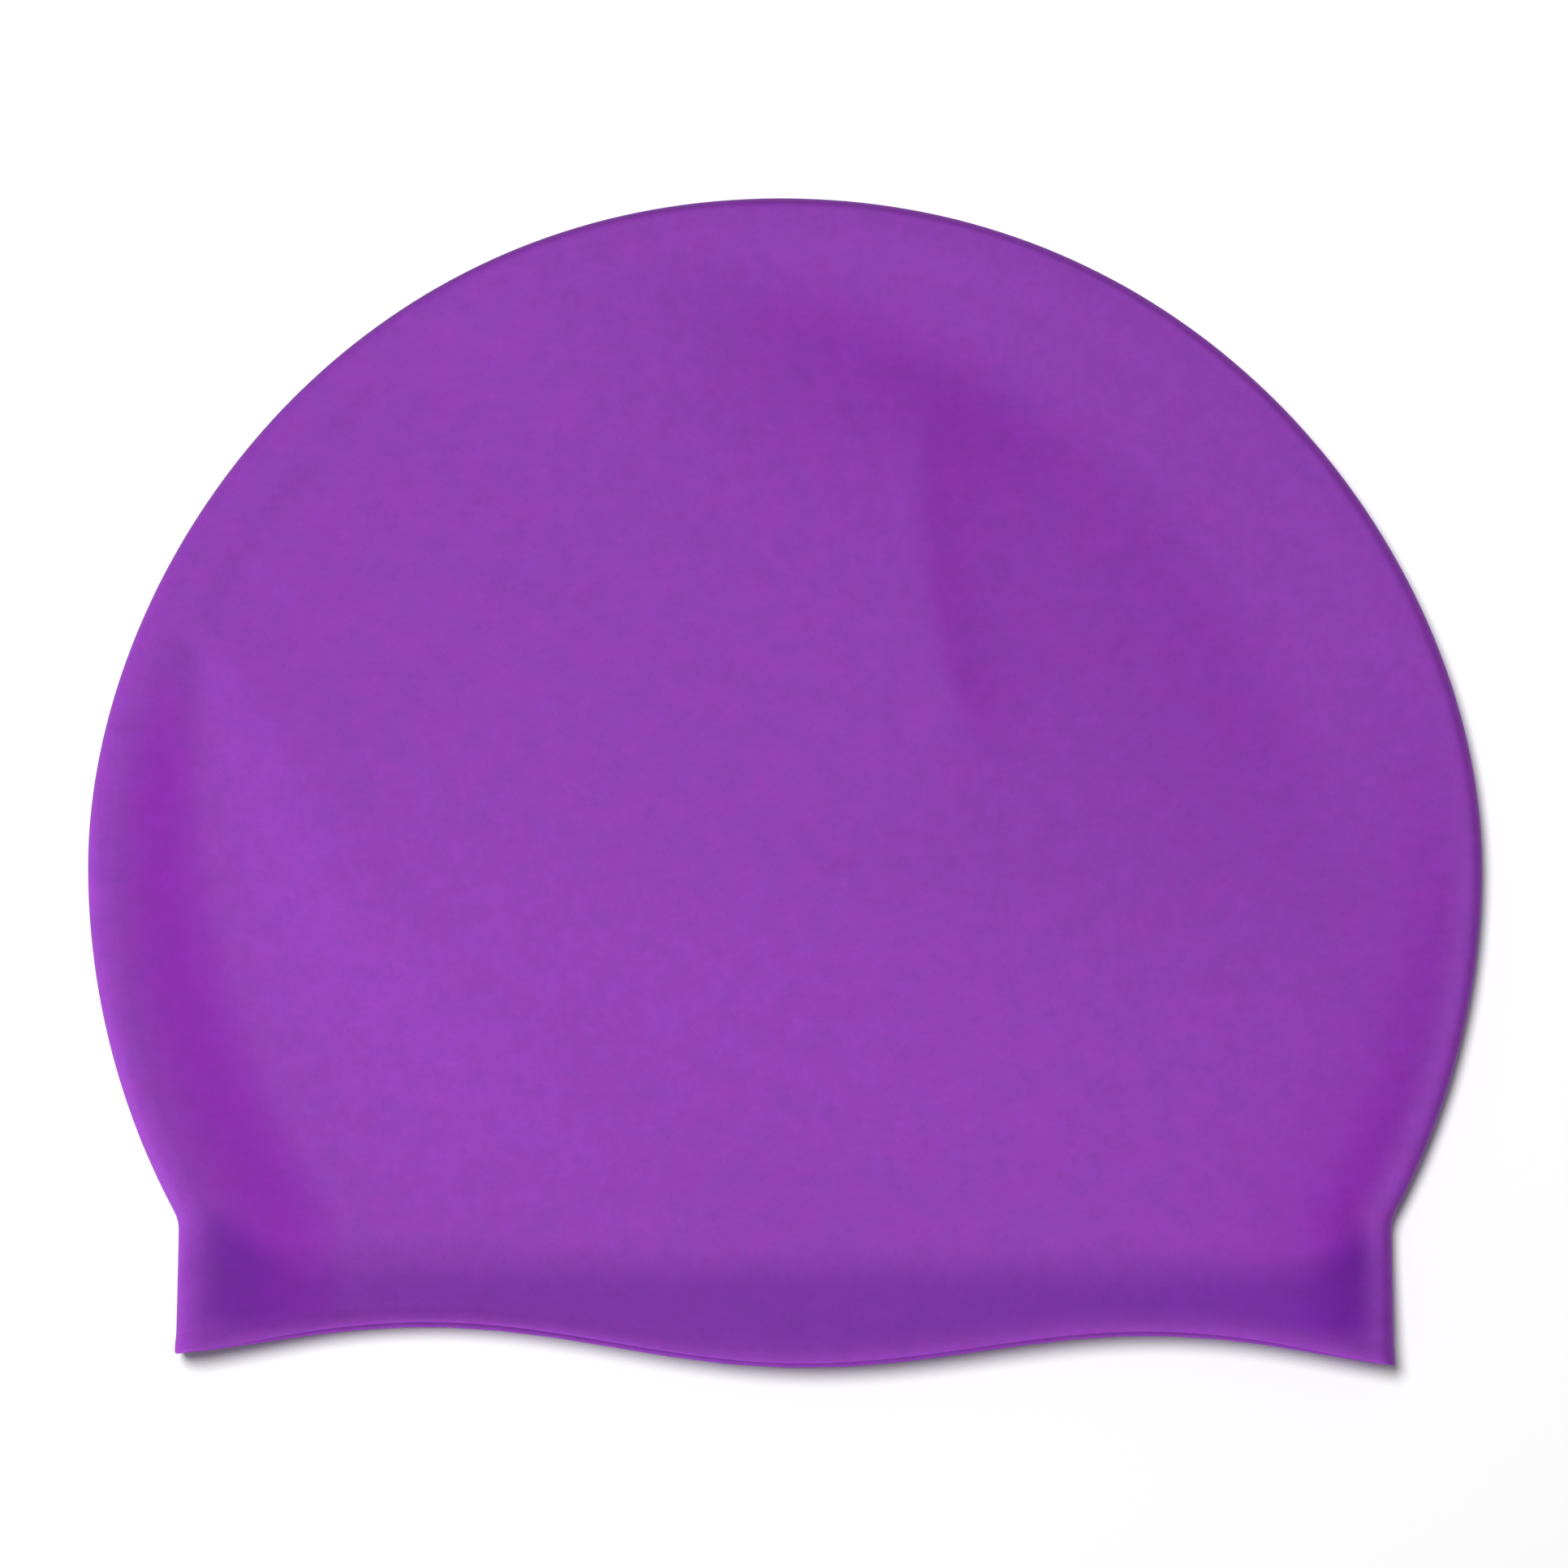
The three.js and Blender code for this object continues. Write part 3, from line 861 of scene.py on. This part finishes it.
def silicone_material(look):
    """Matt moulded silicone: even, with faint clouds in its colour and the
    mould's fine grain on its surface, and with painted shade in the band
    and in the hollows beside the rim and the creases."""
    material, graph = empty_material("Matt Silicone")
    place = graph.node("ShaderNodeTexCoord").outputs["Object"]
    clouds = noise(graph, place, look.cloud_size, COLOUR_DETAIL)
    mottle = noise(graph, place, look.mottle_size, COLOUR_DETAIL)
    grain = noise(graph, place, look.grain_size, GRAIN_DETAIL)
    tone = held((clouds - 0.5) * CLOUD_CONTRAST + 0.5)
    warm = graph.blend((*look.body, 1), (*look.warm, 1), held(tone * 2.0 - 1.0))
    colour = graph.blend((*look.cool, 1), warm, held(tone * 2.0))
    # Painted shade: the band colour darkens the band, and the shade tint darkens and deepens the colour in
    # the hollows.
    thick = graph.number("ShaderNodeAttribute", {"attribute_name": "thick"}, output=2)
    rich = graph.number("ShaderNodeAttribute", {"attribute_name": "rich"}, output=2)
    colour = graph.blend(colour, (*look.band, 1), thick)
    shade_tint = graph.node("ShaderNodeVectorMath", {"operation": "MULTIPLY"}, {0: colour, 1: look.shade_tint})
    colour = graph.blend(colour, shade_tint.outputs[0], rich)
    colour = graph.scale(colour, (mottle - 0.5) * look.mottling + 1.0)
    bump = graph.node("ShaderNodeBump", None, {
        "Strength": GRAIN_STRENGTH, "Distance": GRAIN_DEPTH, "Height": grain,
    })
    shader = graph.node("ShaderNodeBsdfPrincipled", None, {
        "Base Color": colour,
        "Roughness": (mottle - 0.5) * ROUGHNESS_SPREAD + look.roughness,
        "IOR": SILICONE_IOR,
        "Specular IOR Level": SILICONE_SPECULAR,
        "Normal": bump.outputs[0],
    })
    graph.node("ShaderNodeOutputMaterial", None, {"Surface": shader.outputs[0]})
    return material


def floor_material(studio):
    """A plain pale studio floor."""
    material, graph = empty_material("Studio Floor")
    shader = graph.node("ShaderNodeBsdfPrincipled", None, {
        "Base Color": (*studio.floor, 1),
        "Roughness": FLOOR_ROUGHNESS,
        "Specular IOR Level": FLOOR_SPECULAR,
    })
    graph.node("ShaderNodeOutputMaterial", None, {"Surface": shader.outputs[0]})
    return material


def collection_of(name, piece):
    """A collection that lists one object, for a light to fall on."""
    group = bpy.data.collections.new(name)
    group.objects.link(piece)
    return group


def hang_light(row, target, groups):
    """Hang one softbox from its row of the table, turned to its target, to
    fall on one group alone."""
    lamp = bpy.data.lights.new(row["name"], "AREA")
    lamp.shape = "DISK"
    lamp.size = row["size"]
    lamp.energy = row["watts"]
    light = bpy.data.objects.new(row["name"], lamp)
    bpy.context.scene.collection.objects.link(light)
    bearing = math.radians(row["bearing"])
    height = math.radians(row["height"])
    level = math.cos(height)
    way = Vector((math.cos(bearing) * level, math.sin(bearing) * level, math.sin(height)))
    light.location = target + way * row["away"]
    light.rotation_euler = way.to_track_quat("Z", "Y").to_euler()
    light.light_linking.receiver_collection = groups[row["on"]]


class SWIMCAP_OT_mould_shell(bpy.types.Operator):
    """Mould the cap's shell and dress it in silicone"""

    bl_idname = "swimcap.mould_shell"
    bl_label = "Mould Shell"

    def execute(self, context):
        sizes = context.scene.swim_cap_sizes
        lengths = shell_lengths(sizes)
        outline = outline_curve(sizes, lengths["Neck drop"], lengths["Hem drop"])
        tree = ShellTree(lengths).tree
        silicone = silicone_material(context.scene.swim_cap_look)
        shell = evaluated_mesh("silicone_cap", tree, {
            "Outline": outline, "Silicone": silicone,
            "Rows": sizes.rows, "Columns": sizes.columns, **lengths,
        })
        bpy.data.curves.remove(outline.data)
        bpy.data.node_groups.remove(tree)
        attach(shell, "root")
        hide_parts("cap_shell")
        return {"FINISHED"}


class SWIMCAP_OT_lay_stage(bpy.types.Operator):
    """Lay the floor, hang the lights and set up the camera"""

    bl_idname = "swimcap.lay_stage"
    bl_label = "Lay Stage"

    def execute(self, context):
        scene = context.scene
        studio = scene.swim_cap_studio
        half = studio.floor_size / 2
        mesh = bpy.data.meshes.new("studio_floor")
        mesh.from_pydata([(-half, -half, 0), (half, -half, 0), (half, half, 0), (-half, half, 0)],
                         [], [(0, 1, 2, 3)])
        mesh.materials.append(floor_material(studio))
        floor = bpy.data.objects.new("studio_floor", mesh)
        scene.collection.objects.link(floor)

        world = bpy.data.worlds.new("Studio")
        world.use_nodes = True
        world.node_tree.nodes["Background"].inputs["Color"].default_value = (1, 1, 1, 1)
        world.node_tree.nodes["Background"].inputs["Strength"].default_value = studio.sky
        scene.world = world
        scene.view_settings.view_transform = "Standard"

        rim_middle = scene.swim_cap_sizes.rim_height / 2
        target = Vector((studio.view_middle_x, studio.view_middle_y, rim_middle))
        groups = {
            "cap": collection_of("Lit Cap", bpy.data.objects["silicone_cap"]),
            "floor": collection_of("Lit Floor", floor),
        }
        for row in LIGHTS:
            hang_light(row, target, groups)

        lens = bpy.data.cameras.new("Camera")
        lens.lens = studio.lens
        camera = bpy.data.objects.new("Camera", lens)
        scene.collection.objects.link(camera)
        away = studio.view_width * lens.lens / lens.sensor_width
        camera.location = target + Vector((0, 0, away))
        lens.clip_start = away * NEAR_CLIP
        lens.clip_end = studio.floor_size * FAR_CLIP
        scene.camera = camera
        return {"FINISHED"}


class SWIMCAP_PT_build(bpy.types.Panel):
    """Lists the steps that build the cap and its studio"""

    bl_idname = "SWIMCAP_PT_build"
    bl_label = "Swim Cap"
    bl_space_type = "VIEW_3D"
    bl_region_type = "UI"
    bl_category = "Swim Cap"

    def draw(self, context):
        scene = context.scene
        for group in (scene.swim_cap_sizes, scene.swim_cap_look, scene.swim_cap_studio):
            column = self.layout.column(align=True)
            for name in group.__annotations__:
                column.prop(group, name)
        self.layout.operator(SWIMCAP_OT_mould_shell.bl_idname)
        self.layout.operator(SWIMCAP_OT_lay_stage.bl_idname)


CLASSES = (
    CapSizes, SiliconeLook, StudioSettings,
    SWIMCAP_OT_mould_shell, SWIMCAP_OT_lay_stage, SWIMCAP_PT_build,
)


def register():
    for kind in CLASSES:
        bpy.utils.register_class(kind)
    bpy.types.Scene.swim_cap_sizes = bpy.props.PointerProperty(type=CapSizes)
    bpy.types.Scene.swim_cap_look = bpy.props.PointerProperty(type=SiliconeLook)
    bpy.types.Scene.swim_cap_studio = bpy.props.PointerProperty(type=StudioSettings)


def unregister():
    del bpy.types.Scene.swim_cap_studio
    del bpy.types.Scene.swim_cap_look
    del bpy.types.Scene.swim_cap_sizes
    for kind in reversed(CLASSES):
        bpy.utils.unregister_class(kind)


def main():
    """Build the cap and its studio."""
    register()
    bpy.ops.swimcap.mould_shell()
    bpy.ops.swimcap.lay_stage()


if __name__ == "__main__":
    main()
